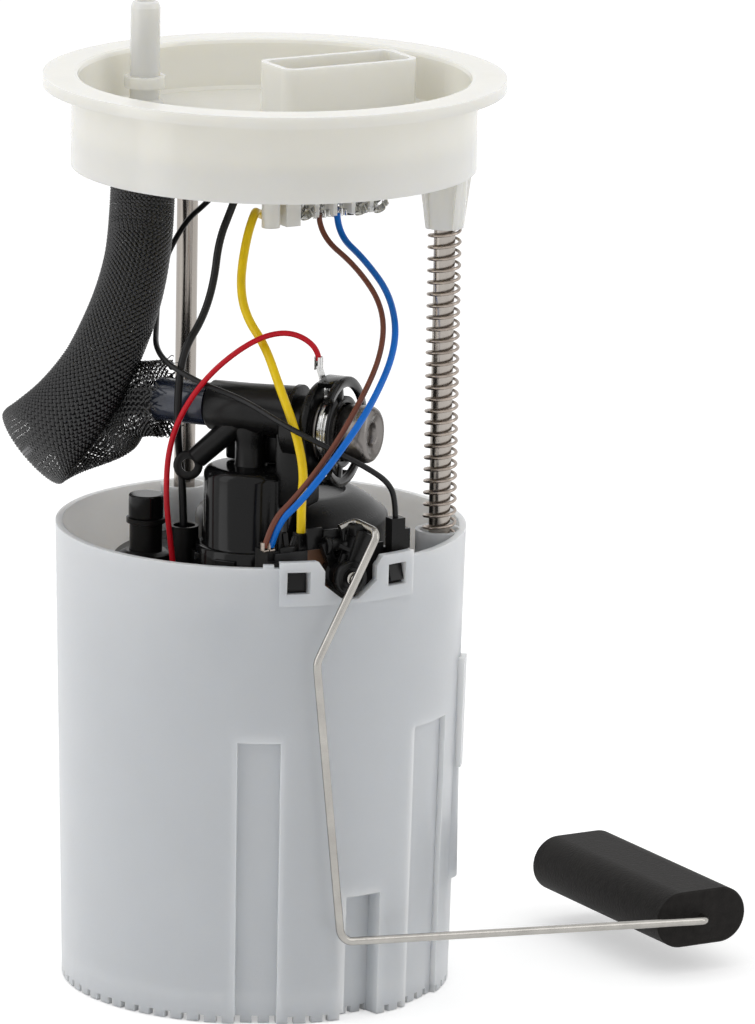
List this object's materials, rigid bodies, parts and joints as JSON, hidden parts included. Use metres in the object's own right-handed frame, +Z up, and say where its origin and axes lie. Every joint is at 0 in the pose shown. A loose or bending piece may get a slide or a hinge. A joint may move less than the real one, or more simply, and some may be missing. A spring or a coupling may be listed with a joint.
{
  "type": "fuel pump module",
  "caption": "Fuel pump module: flange cup on spring-loaded guide rods over a swirl pot with pump, regulator, wiring and a float lever.",
  "frame": {"origin": "centre of the swirl pot's foot, on the plane the pot stands on", "axes": "+Z up along the pot's axis, -Y towards the level sender, +X towards the float at rest"},
  "size_m": [0.1891, 0.1291, 0.2715],
  "materials": {
    "flange_plastic": "satin off-white moulded plastic",
    "pot_plastic": "satin cool white moulded plastic",
    "black_plastic": "satin black moulded plastic",
    "gloss_black": "smooth black moulded plastic",
    "steel": "bright stainless steel",
    "spring_steel": "bright spring steel wire",
    "plated_steel": "plated pressed steel",
    "copper": "bare copper alloy",
    "clear_plastic": "bluish translucent tube",
    "rubber_black": "matt black rubber",
    "float_foam": "matt black closed-cell foam",
    "hose_black": "black fuel hose",
    "braid_black": "open black braid",
    "card_ceramic": "brown ceramic card",
    "magnet": "sintered ferrite",
    "laminated_steel": "laminated steel with windings",
    "mesh_white": "woven nylon strainer",
    "wire_yellow": "yellow insulation",
    "wire_brown": "brown insulation",
    "wire_blue": "blue insulation",
    "wire_black": "black insulation",
    "wire_red": "red insulation"
  },
  "bodies": {
    "reservoir": {"swirl_pot": "pot_plastic", "foot_valve_guide": "black_plastic", "coil_spring": "spring_steel", "pump_holder": "black_plastic", "vent_stub": "black_plastic", "vent_cap": "black_plastic", "pump_cover": "black_plastic", "outlet_dome": "gloss_black", "check_valve_spring": "spring_steel", "manifold": "black_plastic", "regulator_seal": "rubber_black", "pressure_regulator": "plated_steel", "regulator_clip": "spring_steel", "regulator_retainer": "black_plastic", "ground_terminal": "steel", "hose_coupling": "clear_plastic", "pump_can": "plated_steel", "pump_inlet_plate": "black_plastic", "pump_outlet_plate": "black_plastic", "pump_end_cap": "black_plastic", "pump_isolator": "rubber_black", "motor_magnets": "magnet", "brush_pair": "magnet", "inlet_strainer": "mesh_white", "jet_pump": "black_plastic", "sender_body": "black_plastic", "resistor_card": "card_ceramic", "pivot_pin": "steel", "sender_connectors": "black_plastic", "sender_terminals": "copper", "fuel_hose": "hose_black", "braided_sleeve": "braid_black", "wire_yellow": "wire_yellow", "wire_brown": "wire_brown", "wire_blue": "wire_blue", "wire_black_thick": "wire_black", "wire_black_thin": "wire_black", "wire_red": "wire_red"},
    "flange": {"flange_cup": "flange_plastic", "connector_pins": "steel", "crimp_terminals": "steel", "guide_rod_right": "steel", "guide_rod_left": "steel", "rod_stop_clips": "spring_steel"},
    "float_arm": {"lever_holder": "black_plastic", "wiper_fingers": "copper", "float_wire": "steel"},
    "float": {"level_float": "float_foam"},
    "armature": {"armature_core": "laminated_steel", "commutator": "copper", "motor_shaft": "steel", "impeller": "black_plastic"},
    "check_valve": {"check_valve": "black_plastic"},
    "foot_valve": {"foot_valve": "rubber_black"}
  },
  "joints": [
    {"name": "flange_slide", "type": "slide", "parent": "reservoir", "child": "flange", "axis": [0, 0, 1], "range_m": [-0.03, 0], "stiffness_N_per_m": 500, "springref_m": 0.05, "deforming": ["coil_spring", "wire_yellow", "wire_brown", "wire_blue", "wire_black_thick", "wire_black_thin", "fuel_hose", "braided_sleeve"]},
    {"name": "float_arm_hinge", "type": "hinge", "parent": "reservoir", "child": "float_arm", "pos_m": [-0.0035, -0.05, 0.1265], "axis": [0, -1, 0], "range_deg": [0, 70]},
    {"name": "float_pivot", "type": "hinge", "parent": "float_arm", "child": "float", "pos_m": [0.112, -0.055, 0.0157], "axis": [0, -1, 0], "continuous": true},
    {"name": "armature_spin", "type": "hinge", "parent": "reservoir", "child": "armature", "pos_m": [0.0115, 0.003, 0.06], "axis": [0, 0, 1], "continuous": true},
    {"name": "check_valve_lift", "type": "slide", "parent": "reservoir", "child": "check_valve", "axis": [0, 0, 1], "range_m": [0, 0.0025], "stiffness_N_per_m": 100, "springref_m": -0.003, "deforming": ["check_valve_spring"]},
    {"name": "foot_valve_lift", "type": "slide", "parent": "reservoir", "child": "foot_valve", "axis": [0, 0, 1], "range_m": [0, 0.002]}
  ]
}
